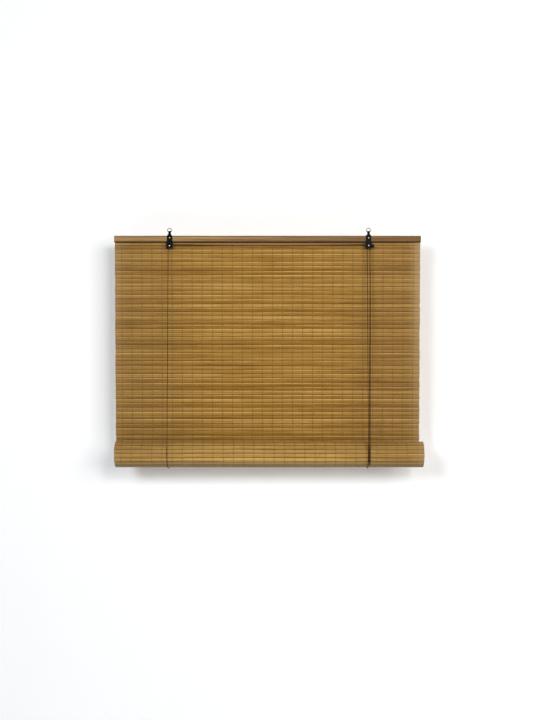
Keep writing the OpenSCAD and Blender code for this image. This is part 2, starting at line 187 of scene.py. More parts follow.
# %% [markdown]
# The finishes are built from a few moves: a smooth step, a mix of two colours, a colour picked from
# a ramp, and noise. The noise always has scale 1, and the vector that goes in says how long and
# wide its marks are, because bamboo has long narrow ones. The places come from the object, or from
# the three numbers that each loft below keeps at its points.

# %% Steps, mixes, ramps and noise


def ease(tint, start, end, low=0.0, high=1.0):
    """A smooth step: low before start, high after end."""
    limits = {"From Min": start, "From Max": end, "To Min": low, "To Max": high}
    return tint.add(
        "ShaderNodeMapRange", {"interpolation_type": "SMOOTHSTEP"}, {"Value": tint, **limits})


def mixed(share, first, second):
    """Two colours mixed by a share from 0 to 1."""
    return share.add("ShaderNodeMix", {"data_type": "RGBA"}, {0: share, 6: first, 7: second}, out=2)


def from_ramp(share, stops):
    """A colour from a ramp with stops of a place and three parts of a colour."""
    stops = [(place, srgb(*colour)) for place, *colour in stops]
    return share.add("ShaderNodeValToRGB", {"stops": stops}, {0: share})


def joined(x, y, z):
    first = next(v for v in (x, y, z) if isinstance(v, Tint))
    return first.add("ShaderNodeCombineXYZ", None, {0: x, 1: y, 2: z})


def split(vector):
    return [vector.add("ShaderNodeSeparateXYZ", None, {0: vector}, out=i) for i in range(3)]


def cloudy(vector, detail=2.0, rough=0.5):
    settings = {"Vector": vector, "Scale": 1.0, "Detail": detail, "Roughness": rough}
    return vector.add("ShaderNodeTexNoise", None, settings)


def bumpy(height, distance, strength):
    return height.add(
        "ShaderNodeBump", None, {"Height": height, "Distance": distance, "Strength": strength})


def spot_of(start):
    """Where a point lies on its object."""
    return start.add("ShaderNodeTexCoord", out="Object")


def grain_of(start):
    """The numbers that a loft keeps at a point: along the piece, across it, and its own tone."""
    return split(start.add("ShaderNodeAttribute", {"attribute_name": "grain"}, out="Vector"))


def marks(grain, per_metre, per_width, seed, detail=2.0, rough=0.5):
    """Noise along the grain, so many marks to a metre and across, and its own on each piece."""
    along, across, tone = grain
    return cloudy(joined(along * per_metre, across * per_width, tone * seed), detail, rough)


print("shader moves ready")

# %% [markdown]
# The blind hangs close in front of a plain white wall, over a pale floor that lies below the
# picture. The wall shows only its front, so that the blind can be looked at from behind too. It is
# lit as the blind is, and a little light for camera rays alone lifts it to white, so it keeps the
# soft shadow round the mat and under the roll.

# %% Wall and floor
WALL_Y, WALL_SIDE, WALL_TOP = 0.115, 1.7, 1.3
FLOOR_Z, FLOOR_SIDE = -1.6, 4


def board(name, corners, material):
    mesh = bpy.data.meshes.new(name)
    mesh.from_pydata(corners, [], [(0, 1, 2, 3)])
    mesh.materials.append(material)
    thing = into_scene(name, mesh)
    return thing


def pale_finish(name, colour, glow, one_sided):
    """A matt stage colour that adds a little of its own light for camera rays."""
    start, shader, material = new_finish(
        name, Base_Color=colour, Roughness=0.9, Specular_IOR_Level=0.1, Emission_Strength=1.0)
    rays = start.add("ShaderNodeLightPath", out="Is Camera Ray")
    plug(shader, "Emission Color", mixed(rays, (0, 0, 0, 1), (glow, glow, glow, 1)))
    if one_sided:
        behind = start.add("ShaderNodeNewGeometry", out="Backfacing")
        clear = start.add("ShaderNodeBsdfTransparent")
        face = start.add("ShaderNodeMixShader", None, {0: behind, 1: start, 2: clear})
        output = next(n for n in start.tree.nodes if n.type == "OUTPUT_MATERIAL")
        start.tree.links.new(face.out, output.inputs[0])
    return material


wall = board(
    "wall",
    [(-WALL_SIDE, WALL_Y, FLOOR_Z), (WALL_SIDE, WALL_Y, FLOOR_Z),
     (WALL_SIDE, WALL_Y, WALL_TOP), (-WALL_SIDE, WALL_Y, WALL_TOP)],
    pale_finish("white_wall", (0.98, 0.985, 0.99, 1), glow=0.02, one_sided=True),
)
wall.visible_shadow = False
board(
    "floor",
    [(-FLOOR_SIDE, -FLOOR_SIDE, FLOOR_Z), (FLOOR_SIDE, -FLOOR_SIDE, FLOOR_Z),
     (FLOOR_SIDE, FLOOR_SIDE, FLOOR_Z), (-FLOOR_SIDE, FLOOR_SIDE, FLOOR_Z)],
    pale_finish("pale_floor", (0.7, 0.7, 0.7, 1), glow=0.45, one_sided=False),
)
print("wall at", WALL_Y, "floor at", FLOOR_Z)

# %% [markdown]
# Round the stage is a room that looks white to the camera but gives the blind hardly any light. A
# bright room would fill the shadow on the wall and lay a grey veil over the bamboo.

# %% World
AMBIENT = 0.04
world = bpy.data.worlds.new("white_room")
bpy.context.scene.world = world
world.use_nodes = True
air = world.node_tree
air.nodes.clear()
room = air.nodes.new("ShaderNodeBackground")
sky = Tint(air, room.outputs[0])
seen = sky.add("ShaderNodeLightPath", out="Is Camera Ray")
plug(room, "Color", mixed(seen, (AMBIENT, AMBIENT, AMBIENT, 1), (1, 1, 1, 1)))
air.links.new(sky.out, air.nodes.new("ShaderNodeOutputWorld").inputs[0])
print("room light", AMBIENT)

# %% [markdown]
# Three lights stand in front of the blind, a little above it. A small one just right of the camera
# makes the cords throw shadows to their left, and two wider ones, warm at the right and cool at the
# left, darken the wall on both sides of the mat and under the roll. Together with the room they
# light a plain surface to its own colour. One more behind the wall is for views of the back.

# %% Lights
MIDDLE = Vector((0, 0, -0.3))
LIGHT_AWAY = 4.0
LIGHTS = [
    # name, degrees to the right and upwards, size in metres, level, colour
    ("near_light", 12, 15, 0.6, 0.24, (1, 1, 1)),
    ("right_light", 28, 10, 1.6, 0.40, (1.03, 1.0, 0.96)),
    ("left_light", -22, 14, 1.0, 0.40, (0.94, 1.0, 1.05)),
    ("back_light", 160, 24, 2.0, 0.6, (1, 1, 1)),
]
for name, turn, rise, size, level, colour in LIGHTS:
    turn, rise = math.radians(turn), math.radians(rise)
    flat = LIGHT_AWAY * math.cos(rise)
    reach = Vector((flat * math.sin(turn), -flat * math.cos(turn), LIGHT_AWAY * math.sin(rise)))
    lamp = bpy.data.lights.new(name, "AREA")
    lamp.size, lamp.color = size, colour
    # At level 1 a plain surface that faces the lamp shows its own colour
    lamp.energy = level * math.pi ** 2 * LIGHT_AWAY ** 2
    thing = into_scene(name, lamp)
    thing.location = MIDDLE + reach
    thing.rotation_euler = (-reach).to_track_quat("-Z", "Y").to_euler()
    thing.visible_camera = False
bpy.context.scene.view_settings.view_transform = "Standard"
print("lights", [light[0] for light in LIGHTS])

# %% [markdown]
# Every long piece here is a loft: rings of points set along a line and skinned. `Skin` gathers any
# number of lofts into one mesh, and keeps three numbers at each point for the material: the place
# along the piece, the place across it, and a tone of its own. The finish then follows the piece
# when it moves, and no two slats look the same.

# %% Lofts


class Skin:
    def __init__(self):
        self.points, self.faces, self.grain = [], [], []

    def loft(self, rings, grain):
        """Rings with the same number of points each, and the grain at each point."""
        first, count = len(self.points), len(rings[0])
        for ring, numbers in zip(rings, grain):
            self.points += ring
            self.grain += numbers
        for i in range(len(rings) - 1):
            for j in range(count):
                a, b = first + i * count + j, first + i * count + (j + 1) % count
                self.faces.append((a, b, b + count, a + count))
        last = first + (len(rings) - 1) * count
        self.faces.append(tuple(range(first + count - 1, first - 1, -1)))
        self.faces.append(tuple(range(last, last + count)))

    def piece(self, name, material, nodes, crisp=40):
        """The finished object, in place of the CAD nodes; edges over `crisp` degrees stay sharp."""
        mesh = bpy.data.meshes.new(name)
        mesh.from_pydata(self.points, [], self.faces)
        work = bmesh.new()
        work.from_mesh(mesh)
        bmesh.ops.recalc_face_normals(work, faces=work.faces)
        work.to_mesh(mesh)
        work.free()
        grain = mesh.attributes.new("grain", "FLOAT_VECTOR", "POINT")
        grain.data.foreach_set("vector", [v for numbers in self.grain for v in numbers])
        mesh.shade_smooth()
        mesh.set_sharp_from_angle(angle=math.radians(crisp))
        mesh.materials.append(material)
        thing = into_scene(name, mesh)
        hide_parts(*nodes)
        print(name, len(mesh.polygons), "faces")
        return thing


joints = {joint["name"]: joint for joint in frame["joints"]}
LIFT = "roll_lift"
LIFT_TRAVEL = joints[LIFT]["range_m"][1]


def shortens(thing, top, bottom):
    """A hanging piece, attached to the headrail and given a mesh of its own."""
    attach(thing, "headrail")
    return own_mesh(thing, LIFT, (0, 0, 1), (0, 0, top), 1 - LIFT_TRAVEL / (top - bottom))


print("the roll climbs", LIFT_TRAVEL, "m")

# %% [markdown]
# The cords are cotton, stained a dark brown that has worn paler in places. The colour comes from
# short fibres along the yarns and from longer patches, and a little bump keeps the fibres dull.

# %% Cord finish
start, shader, cord_brown = new_finish("cord_brown", Specular_IOR_Level=0.2)
grain = grain_of(start)
fibre = marks(grain, per_metre=900, per_width=3, seed=40, detail=3)
patch = marks(grain, per_metre=45, per_width=1, seed=40)
share = fibre * 0.6 + patch * 0.7 - 0.15
stops = [(0.2, 22, 12, 5), (0.5, 46, 28, 13), (0.85, 80, 54, 31)]
plug(shader, "Base Color", from_ramp(share, stops))
plug(shader, "Roughness", 0.75 + fibre * 0.2)
plug(shader, "Normal", bumpy(fibre, 0.15 * MM, 0.6))
print("cord finish", cord_brown.name)

# %% [markdown]
# A cord's route is a short list of places. It is bent into a smooth curve where it hangs free, and
# then cut into even steps, so that the twist of the yarns has the same pitch everywhere.

# %% Routes
QUARTER_STEPS = 10


def even_steps(points, step):
    """Points at even steps along a line of points, both ends kept."""
    points = [Vector(p) for p in points]
    gone = [0.0]
    for a, b in zip(points, points[1:]):
        gone.append(gone[-1] + (b - a).length)
    count = max(4, round(gone[-1] / step))
    out, i = [], 0
    for k in range(count + 1):
        want = gone[-1] * k / count
        while i < len(points) - 2 and gone[i + 1] < want:
            i += 1
        share = (want - gone[i]) / max(gone[i + 1] - gone[i], 1e-9)
        out.append(points[i].lerp(points[i + 1], min(share, 1.0)))
    return out


def smooth_route(points, per_span=12):
    """A curve through the points, each span bent by its neighbours."""
    points = [Vector(p) for p in points]
    out = []
    for i in range(len(points) - 1):
        a, b = points[max(i - 1, 0)], points[i]
        c, d = points[i + 1], points[min(i + 2, len(points) - 1)]
        for k in range(per_span):
            t = k / per_span
            bend = (2 * a - 5 * b + 4 * c - d) * t * t + (3 * b - a - 3 * c + d) * t ** 3
            out.append(0.5 * (2 * b + (c - a) * t + bend))
    return out + [points[-1]]


def arc(centre, radius, first, last, steps, place):
    """Points round a centre, from one angle in degrees to another."""
    out = []
    for i in range(steps + 1):
        angle = math.radians(first + (last - first) * i / steps)
        a, b = centre[0] + radius * math.cos(angle), centre[1] + radius * math.sin(angle)
        out.append(place(a, b))
    return out


quarter = arc((0, 0), 1, 0, 90, QUARTER_STEPS, lambda a, b: (a, b))
print("a quarter turn in", len(quarter), "points")

# %% [markdown]
# Each cord is laid from three yarns twisted together, two millimetres thick. A smooth tube with a
# bump pattern would look flat where a cord crosses the white wall, so each ring of the loft has
# three lobes and is turned a little further than the one before.

# %% Twisted cord
CORD_D, CORD_LAY, CORD_STEP = 2 * MM, 6 * MM, 0.6 * MM
YARNS = 3
# Degrees round the cord from the yarn's edge, and reach as a share of the cord's radius
YARN_LOBE = [(0, 0.74), (32, 0.95), (60, 1.0), (88, 0.95)]


def lay_cord(skin, route, tone):
    """Three twisted yarns along a route; gives back the length."""
    line = even_steps(route, CORD_STEP)
    across = abs((line[1] - line[0]).normalized().x) < 0.8
    side = Vector((1, 0, 0)) if across else Vector((0, 1, 0))
    rings, grain, gone = [], [], 0.0
    for i, middle in enumerate(line):
        ahead = (line[min(i + 1, len(line) - 1)] - line[max(i - 1, 0)]).normalized()
        side = (side - ahead * side.dot(ahead)).normalized()
        up = ahead.cross(side)
        twist = gone / CORD_LAY * math.tau
        ring, numbers = [], []
        for yarn in range(YARNS):
            for degrees, reach in YARN_LOBE:
                angle = math.radians(degrees + 360 / YARNS * yarn) + twist
                out = math.cos(angle) * side + math.sin(angle) * up
                ring.append(middle + CORD_D / 2 * reach * out)
                numbers.append((gone, yarn + reach, tone))
        rings.append(ring)
        grain.append(numbers)
        if i < len(line) - 1:
            gone += (line[i + 1] - middle).length
    skin.loft(rings, grain)
    return gone


def cord_piece(name, node, route, tone):
    """One length of cord as a piece, and how long it is."""
    skin = Skin()
    length = lay_cord(skin, route, tone)
    return skin.piece(name, cord_brown, [node]), length


print("cord of", YARNS, "yarns,", len(YARN_LOBE) * YARNS, "points to a ring")

# %% [markdown]
# Each lift cord hangs down behind the mat, turns under the roll and comes up its front to a pulley
# on the headrail. The slings ride with the roll. The axles and the roll's axis are read from the
# joints of the frame.

# %% Lift cords
LEFT_X, GROOVE_Y, AXLE_Z = joints["left_pulley_spin"]["pos_m"]
RIGHT_X, ROLLER_Y, _ = joints["lock_roller_spin"]["pos_m"]
GROOVE2_Y = 2 * ROLLER_Y - GROOVE_Y
ROLL_SHIFT, ROLL_Y, ROLL_Z = joints["roll_spin"]["pos_m"]
CORD_RUN = 4 * MM
SLING_R, SLING_TOP, SLING_STEPS = 41.237 * MM, 168, 48
rail_low, rail_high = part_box("front_batten")
RAIL_BOTTOM = rail_low[2]

front_angle = math.radians(SLING_TOP)
sling_front = (ROLL_Y + SLING_R * math.cos(front_angle), ROLL_Z + SLING_R * math.sin(front_angle))
lifts = [("left", LEFT_X, GROOVE_Y, 0.4), ("right", RIGHT_X, GROOVE2_Y, 0.3)]
for side, axle_x, groove, tone in lifts:
    x = axle_x - CORD_RUN
    route = [(x, ROLL_Y + SLING_R, RAIL_BOTTOM), (x, ROLL_Y + SLING_R, ROLL_Z)]
    back, _ = cord_piece(f"{side}_back_cord", f"{side}_back_strand", route, tone=0.1)
    shortens(back, RAIL_BOTTOM, ROLL_Z)
    route = arc((ROLL_Y, ROLL_Z), SLING_R, 360, SLING_TOP, SLING_STEPS, lambda y, z: (x, y, z))
    sling, _ = cord_piece(f"{side}_cord_sling", f"{side}_sling", route, tone=0.2)
    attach(sling, "cord_slings")
    route = [(x, groove, AXLE_Z), (x, *sling_front)]
    front, length = cord_piece(f"{side}_front_cord", f"{side}_front_strand", route, tone)
    shortens(front, AXLE_Z, sling_front[1])
    print(side, "front cord", round(length, 3), "m")

# %% [markdown]
# The left cord crosses to the lock along the headrail, and dips a little on the way, as a slack
# cord does. The right cord only turns over the lock's roller, in its second groove.

# %% Cords along the headrail
SLACK, CROSS_STEPS = 3 * MM, 40


def in_groove(depth):
    """Puts a point of a turn round an axle into a groove at this depth."""
    return lambda x, z: (x, depth, z)


route = arc((LEFT_X, AXLE_Z), CORD_RUN, 180, 90, QUARTER_STEPS, in_groove(GROOVE_Y))
for i in range(1, CROSS_STEPS):
    share = i / CROSS_STEPS
    dip = SLACK * (1 - (2 * share - 1) ** 2)
    route.append((LEFT_X + (RIGHT_X - LEFT_X) * share, GROOVE_Y, AXLE_Z + CORD_RUN - dip))
route += arc((RIGHT_X, AXLE_Z), CORD_RUN, 90, 0, QUARTER_STEPS, in_groove(GROOVE_Y))
crossing, length = cord_piece("headrail_cord", "cross_cord", route, tone=0.5)
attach(crossing, "headrail")
route = arc((RIGHT_X, AXLE_Z), CORD_RUN, 180, 0, 2 * QUARTER_STEPS, in_groove(GROOVE2_Y))
turn, _ = cord_piece("lock_roller_cord", "lock_cord", route, tone=0.6)
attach(turn, "headrail")
print("cord along the headrail", round(length, 3), "m")

# %% [markdown]
# Behind the lock both lift cords become the pull cord: two loose strands that hang down over the
# front of the roll and end in one knot. Their routes repeat the CAD model, in millimetres. Below
# the roll's front each strand turns straight down, runs through the knot and ends in a short tail.

# %% Tails and knot of the pull cord
PULL_ROUTES = {
    "inner": [
        (300, -24.4, -20.5), (300, -24.7, -40), (299.8, -30.5, -110), (299, -40.5, -210),
        (298, -51.2, -310), (297, -61.3, -400), (296, -71.8, -490), (295.2, -80.1, -560),
        (294.6, -87, -622.8),
    ],
    "outer": [
        (300, -27.8, -20.5), (300, -28.1, -40), (300.2, -33.5, -110), (300, -43, -210),
        (299.4, -53.2, -310), (298.7, -62.8, -400), (298, -72.8, -490), (297.4, -80.6, -560),
        (297, -87, -622.8),
    ],
}
# The bend as y and z, the end as a share of the spread, y, and z from under the knot
TAIL_BEND = [(-87.1, -623.2), (-87.5, -626.4), (-87.6, -630), (-87.6, -641)]
TAIL_SPREAD = {"inner": -0.4, "outer": 0.6}
TAIL_END = [(0.0, -87.6, 0.0), (0.5, -87.8, -5.0), (1.0, -88.1, -9.0)]
KNOT_H, KNOT_R, KNOT_INSET = 7, 2.15, 1.0
KNOT_TURNS, TURN_STEPS, TUCK_STEPS, TUCKED = 3, 16, 6, 0.45
knot_y, knot_top = TAIL_BEND[-1]


def metres(points):
    return [tuple(v * MM for v in p) for p in points]


tails = {}
for name, points in PULL_ROUTES.items():
    x = points[-1][0]
    bend = smooth_route(metres([(x, *p) for p in TAIL_BEND]))
    end = [(x + TAIL_SPREAD[name] * share, y, knot_top - KNOT_H + z) for share, y, z in TAIL_END]
    route = bend + smooth_route(metres(end))
    tails[name], _ = cord_piece(f"pull_tail_{name}", "pull_tails", route, tone=0.7)
    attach(tails[name], "cord_slings")

knot_x = sum(points[-1][0] for points in PULL_ROUTES.values()) / len(PULL_ROUTES)
coil, last = [], KNOT_TURNS * TURN_STEPS
for i in range(last + 1):
    angle = math.tau * i / TURN_STEPS
    tuck = min(1.0, i / TUCK_STEPS, (last - i) / TUCK_STEPS)
    reach = KNOT_R * (TUCKED + (1 - TUCKED) * tuck)
    height = knot_top - KNOT_INSET - (KNOT_H - 2 * KNOT_INSET) * i / last
    coil.append((knot_x + reach * math.cos(angle), knot_y + reach * math.sin(angle), height))
knot, _ = cord_piece("pull_cord_knot", "pull_knot", metres(coil), tone=0.8)
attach(knot, "cord_slings")

# %% [markdown]
# The two strands are free cords, each lofted along its route, and what hangs on each is listed: its
# tail, and on the inner one the knot as well.

# %% Strands of the pull cord
STRAND_TONE = {"inner": 0.9, "outer": 0.95}
for name, points in PULL_ROUTES.items():
    path = smooth_route(metres(points), per_span=4)
    piece_name, node = f"pull_cord_strand_{name}", f"pull_cord_{name}"
    strand, length = cord_piece(piece_name, node, path, STRAND_TONE[name])
    shortens(strand, AXLE_Z, points[-1][2] * MM)
    on_it = [tails[name], knot] if name == "inner" else [tails[name]]
    print("pull cord", name, round(length, 3), "m to its tail")

# %% [markdown]
# The slats are split bamboo, stained a golden brown. Each is one strip of culm, smooth and rounded
# on its front, with a raised joint every hand or two. Its colour is a ramp, and the number that
# picks a place on it adds up what bamboo shows: the slat's own tone, a small change at each joint,
# long patches and streaks, and fibres. It also adds painted light: each slat is painted a little
# lighter towards its upper edge, and a painted highlight runs along that edge.
# The mat is also a little darker towards its sides.

# %% Tone of a slat
JOINT_STEP = 0.27
DARKER_FROM, DARKER_TO = 0.14, 0.40


def slat_tone(start, grain, x, lit_side):
    """The place on the ramp, the noise of the fibres, and how deep the stain bit the edges."""
    along, across, tone = grain
    step = along / JOINT_STEP
    length_no = step.math("FLOOR", step)
    own = start.add("ShaderNodeTexWhiteNoise", {"noise_dimensions": "2D"},
                    {"Vector": joined(length_no * 1.7, tone * 91, 0.0)})
    patch = marks(grain, per_metre=7, per_width=0.35, seed=57)
    fibre = marks(grain, per_metre=16, per_width=4.5, seed=83, detail=3, rough=0.6)
    fine = marks(grain, per_metre=60, per_width=26, seed=71)
    streak = marks(grain, per_metre=2.6, per_width=2.9, seed=47, detail=3, rough=0.55)
    bite = cloudy(joined(along * 2.2, tone * 31, 0.0), 2)
    young = tone.math("MINIMUM", tone, 1.0)
    layers = ((young, 0.28), (own, 0.06), (patch, 0.34), (streak, 0.85), (fibre, 0.6), (fine, 0.22))
    share = 0.5
    for layer, weight in layers:
        share = share + (layer - 0.5) * weight
    # Painted light: each slat is painted a little lighter towards its upper edge, with a painted
    # highlight along that edge
    upper = across * lit_side
    painted_crest_highlight = ease(upper, 0.34, 0.60) * ease(upper, 0.80, 0.92, 1.0, 0.0)
    share = share + upper * 0.08 + painted_crest_highlight * ease(bite, 0.3, 0.7, 0.40, 0.05)
    share = share - ease(abs(x), DARKER_FROM, DARKER_TO, 0.0, 0.12)
    return share, fibre, fine, bite


print("a joint every", JOINT_STEP, "m")

# %% [markdown]
# Over that tone lie the marks of making and of age, and painted shade. The stain gathers at the
# joints, and the seams and the places where a thread bites into a slat are darkened partly by
# stain and partly as painted shade. A painted shadow lies right under the headrail, and between
# the pulleys the slats under it are painted darker as the shadow of the batten and of the cord
# along it. The ends of the mat are paler, most of all at the upper right, and the underside of the
# roll is painted grey as painted shade. Each is a mix with one more colour, so it can be set by
# itself.

# %% Bamboo finishes
THREAD_STEP = 29.62 * MM
BLIND_W = rail_high[0] - rail_low[0]
TOP_SEAM = -18.6 * MM
BITE_STAIN_AND_SHADE, STRIP_SHADOW, DULLED = srgb(66, 38, 6), srgb(132, 99, 62), srgb(152, 124, 84)


def bamboo(name, stops, seam, pale_end_colour, pale_end_share, painted_shade_grey, rough, lit_side, first_thread, rim_from):
    """lit_side is 1 where the number across a slat grows upwards, as on the mat, and -1 on the
    roll; it sets which edge gets the painted highlight. A slat with a tone above 1 is painted grey
    as painted shade."""
    start, shader, material = new_finish(name, Specular_IOR_Level=0.1)
    grain = grain_of(start)
    along, across, tone = grain
    x, _, z = split(spot_of(start))
    share, fibre, fine, bite = slat_tone(start, grain, x, lit_side)
    colour = from_ramp(share, stops)
    colour = mixed(ease(abs(x), DARKER_FROM, DARKER_TO, 0.0, 0.2), colour, DULLED)
    # Painted shade: slats with a tone above 1, the underside of the roll, are painted grey, and
    # their seams darker
    underside_shade = ease(tone, 0.9, 1.6)
    colour = mixed(underside_shade * 0.9, colour, painted_shade_grey)

    step = along / JOINT_STEP
    to_joint = (0.5 - abs(step - step.math("FLOOR", step) - 0.5)) * JOINT_STEP
    colour = mixed(ease(to_joint, 0.3 * MM, 1.6 * MM, 0.25, 0.0), colour, seam)
    # The seams are darkened, partly by stain and partly as painted shade
    rim = ease(abs(across), rim_from, 1.0) * (ease(bite, 0.30, 0.62, 0.35, 0.95) + underside_shade * 0.5)
    colour = mixed(rim, colour, seam)

    # Painted shadow: between the pulleys, the slats right under the headrail are painted brown as
    # the shadow of the batten and the cord along it
    by_cord = ease(x, LEFT_X, LEFT_X + CORD_RUN) * ease(x, RIGHT_X - CORD_RUN, RIGHT_X, 1.0, 0.0)
    painted_strip_shadow = ease(z, TOP_SEAM, TOP_SEAM + 0.6 * MM, 0.0, 0.75) * by_cord
    colour = mixed(painted_strip_shadow, colour, STRIP_SHADOW)
    # Painted shadow: a dark line right under the batten
    painted_rail_shadow = ease(z, -11.6 * MM, -9.8 * MM, 0.0, 0.9)
    colour = mixed(painted_rail_shadow, colour, BITE_STAIN_AND_SHADE)
    # Painted shadow of the cord along the headrail, on the seam behind it
    painted_cord_shadow = ease(abs(z - TOP_SEAM), 0.5 * MM, 1.9 * MM, 0.9, 0.0) * by_cord
    colour = mixed(painted_cord_shadow, colour, BITE_STAIN_AND_SHADE)

    # Where a thread holds a slat it is darker, partly stain and partly painted shade, most of all
    # in the seams
    line = (x - first_thread) / THREAD_STEP + 0.5
    to_thread = abs(line - line.math("FLOOR", line) - 0.5) * THREAD_STEP
    held = ease(to_thread, 0.6 * MM, 3.0 * MM, 1.0, 0.0) * (0.12 + rim * 0.75)
    colour = mixed(held, colour, BITE_STAIN_AND_SHADE)
    paler_ends = ease(BLIND_W / 2 - abs(x), 0.0, 40 * MM, pale_end_share, 0.0)
    paler_ends = paler_ends * ease(x, -0.1, 0.1, 0.4, 1.0) * ease(z, -0.6, -0.1, 0.45, 1.0)
    plug(shader, "Base Color", mixed(paler_ends, colour, pale_end_colour))
    plug(shader, "Roughness", rough + (fibre - 0.5) * 0.25 + rim * 0.35)
    plug(shader, "Normal", bumpy(fibre + fine * 0.6, 0.12 * MM, 0.7))
    return material


bamboo_gold = bamboo(
    "bamboo_gold",
    [(0.12, 102, 67, 13), (0.42, 144, 104, 40), (0.62, 162, 122, 54), (0.92, 197, 158, 92)],
    seam=srgb(92, 58, 12), pale_end_colour=srgb(180, 150, 110), pale_end_share=0.58, painted_shade_grey=srgb(150, 128, 88),
    rough=0.55, lit_side=1, first_thread=THREAD_STEP / 2, rim_from=0.74,
)
bamboo_back = bamboo(
    "bamboo_back",
    [(0.12, 116, 82, 32), (0.42, 156, 118, 56), (0.64, 184, 144, 76), (0.95, 208, 172, 106)],
    seam=srgb(82, 54, 18), pale_end_colour=srgb(166, 140, 98), pale_end_share=0.7, painted_shade_grey=srgb(134, 115, 82),
    rough=0.6, lit_side=-1, first_thread=THREAD_STEP / 2 + ROLL_SHIFT, rim_from=0.60,
)
print("bamboo finishes", bamboo_gold.name, bamboo_back.name)

# %% [markdown]
# One slat is a loft of a rounded cross-section along its length. Its two edges are curves that it
# shares with its neighbours, because strips that are split by hand and woven close fill up each
# other's hollows. It also tilts and bows a little, its ends are not quite even, and it swells at
# the joints. Slats lap by a hair, so that no light comes through the seams.

# %% One slat
SLAT_T, OVERLAP = 2.4 * MM, 0.2 * MM
BOW, UNEVEN_END = 0.2 * MM, 0.9 * MM
SWELL_H, SWELL_W = 0.22 * MM, 2.2 * MM


def wave(rng, size):
    """A slow random wave along a slat."""
    parts = [(rng.uniform(2, 14), rng.uniform(0, math.tau), rng.uniform(0.3, 1)) for _ in range(3)]
    whole = sum(height for _, _, height in parts)
    return lambda x: size * sum(h * math.sin(f * x + p) for f, p, h in parts) / whole


def split_slat(rng, low, high, tilt):
    """What makes one slat differ from the next; low and high are its edges along its length."""
    return {
        "low": low, "high": high, "tilt": rng.uniform(-tilt, tilt), "bow": wave(rng, BOW),
        "tone": rng.random(), "shift": rng.uniform(1, 9),
        "ends": (rng.uniform(0, UNEVEN_END), rng.uniform(0, UNEVEN_END)),
    }


def edge_curve(seam, curve, mid):
    """An edge of a slat, measured from the slat's middle."""
    return lambda x: seam - mid + curve(x)


def slat_point(slat, x, across, deep):
    """Across and depth, in metres, of a point of the cross-section at x."""
    step = (x + slat["shift"]) / JOINT_STEP
    off = (step - round(step)) * JOINT_STEP
    swell = SWELL_H * math.exp(-((off / SWELL_W) ** 2))
    low, high = slat["low"](x) - OVERLAP / 2, slat["high"](x) + OVERLAP / 2
    up = (low + high) / 2 + across * (high - low) / 2
    return up, deep * (SLAT_T / 2 + swell) + slat["bow"](x) + up * slat["tilt"]


print("slats lap by", OVERLAP / MM, "mm")

# %% [markdown]
# The same function lofts the slats of the hanging mat and of the roll: only the place of a point
# differs. Its rings stand evenly, with a few more at each joint to carry the swelling. The slats
# inside the roll show only their ends, so they get fewer.

# %% Loft of a slat
# Across from one edge to the other, and deep from the front to the back, each from -1 to 1
CROSS = [
    (-0.87, -0.60), (-0.55, -0.90), (0.0, -1.0), (0.55, -0.90), (0.87, -0.60), (1.0, 0.10),
    (0.98, 0.60), (0.82, 0.94), (0.0, 1.0), (-0.82, 0.94), (-0.98, 0.60), (-1.0, 0.10),
]
SHOWN_STEPS, HIDDEN_STEPS = 40, 6
RINGS_AT_JOINT = (-4.5, -2, -0.8, 0.8, 2, 4.5)


def stations(slat, low, high, shown):
    """Where the rings of a slat stand along it."""
    count = SHOWN_STEPS if shown else HIDDEN_STEPS
    out = [low + (high - low) * i / count for i in range(count + 1)]
    if shown:
        first = math.ceil((low + slat["shift"]) / JOINT_STEP)
        last = math.floor((high + slat["shift"]) / JOINT_STEP)
        for k in range(first, last + 1):
            joint = k * JOINT_STEP - slat["shift"]
            out += [joint + d * MM for d in RINGS_AT_JOINT if low < joint + d * MM < high]
    return sorted(out)


def add_slat(skin, slat, low, high, put, shown=True):
    """A slat from low to high along X; `put` gives the place of a point across and deep in it."""
    rings, grain = [], []
    for x in stations(slat, low + slat["ends"][0], high - slat["ends"][1], shown):
        rings.append([put(slat, x, *slat_point(slat, x, v, d)) for v, d in CROSS])
        grain.append([(x + slat["shift"], v, slat["tone"]) for v, d in CROSS])
    skin.loft(rings, grain)


print("cross-section of", len(CROSS), "points")

# %% [markdown]
# Fifty-two slats hang between the headrail and the roll, in two pieces. The upper twelve stay where
# they are when the blind is raised, and the others are a piece of their own below them. The seams
# between the slats are not even, so each is shifted a little, apart from the ends, the one where
# the two pieces meet and the one behind the cord along the headrail.

# %% Hanging mat
rng = random.Random(52)
MAT_Y, MAT_TOP = -7.7 * MM, 7 * MM
SLAT_PITCH = 12.25 * MM
HANGING, STAYING, CORD_SEAM = 52, 12, 2
SEAM_SHIFT, SEAM_SWAY = 2 * MM, 0.35 * MM
MAT_TILT = 0.05
seams, curves = [], []
for k in range(HANGING + 1):
    loose = 0 < k < HANGING and k != STAYING
    shift = rng.uniform(-SEAM_SHIFT, SEAM_SHIFT) if loose else 0.0
    seams.append(MAT_TOP - SLAT_PITCH * k + shift)
    curves.append(wave(rng, SEAM_SWAY if loose else 0.0))
seams[CORD_SEAM] = TOP_SEAM

mat_slats = []
for k in range(HANGING):
    mid = (seams[k] + seams[k + 1]) / 2
    low, high = (edge_curve(seams[i], curves[i], mid) for i in (k + 1, k))
    mat_slats.append({**split_slat(rng, low, high, MAT_TILT), "mid": mid})


def put_hanging(slat, x, up, depth):
    return Vector((x, MAT_Y + depth, slat["mid"] + up))


mat_split = seams[STAYING]
mat_parts = {"upper": mat_slats[:STAYING], "lower": mat_slats[STAYING:]}
mats = {}
for name, slats in mat_parts.items():
    skin = Skin()
    for slat in slats:
        add_slat(skin, slat, -BLIND_W / 2, BLIND_W / 2, put_hanging)
    mats[name] = skin.piece(f"{name}_slats", bamboo_gold, ["slat_mat"])
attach(mats["upper"], "headrail")
shortens(mats["lower"], mat_split, ROLL_Z)
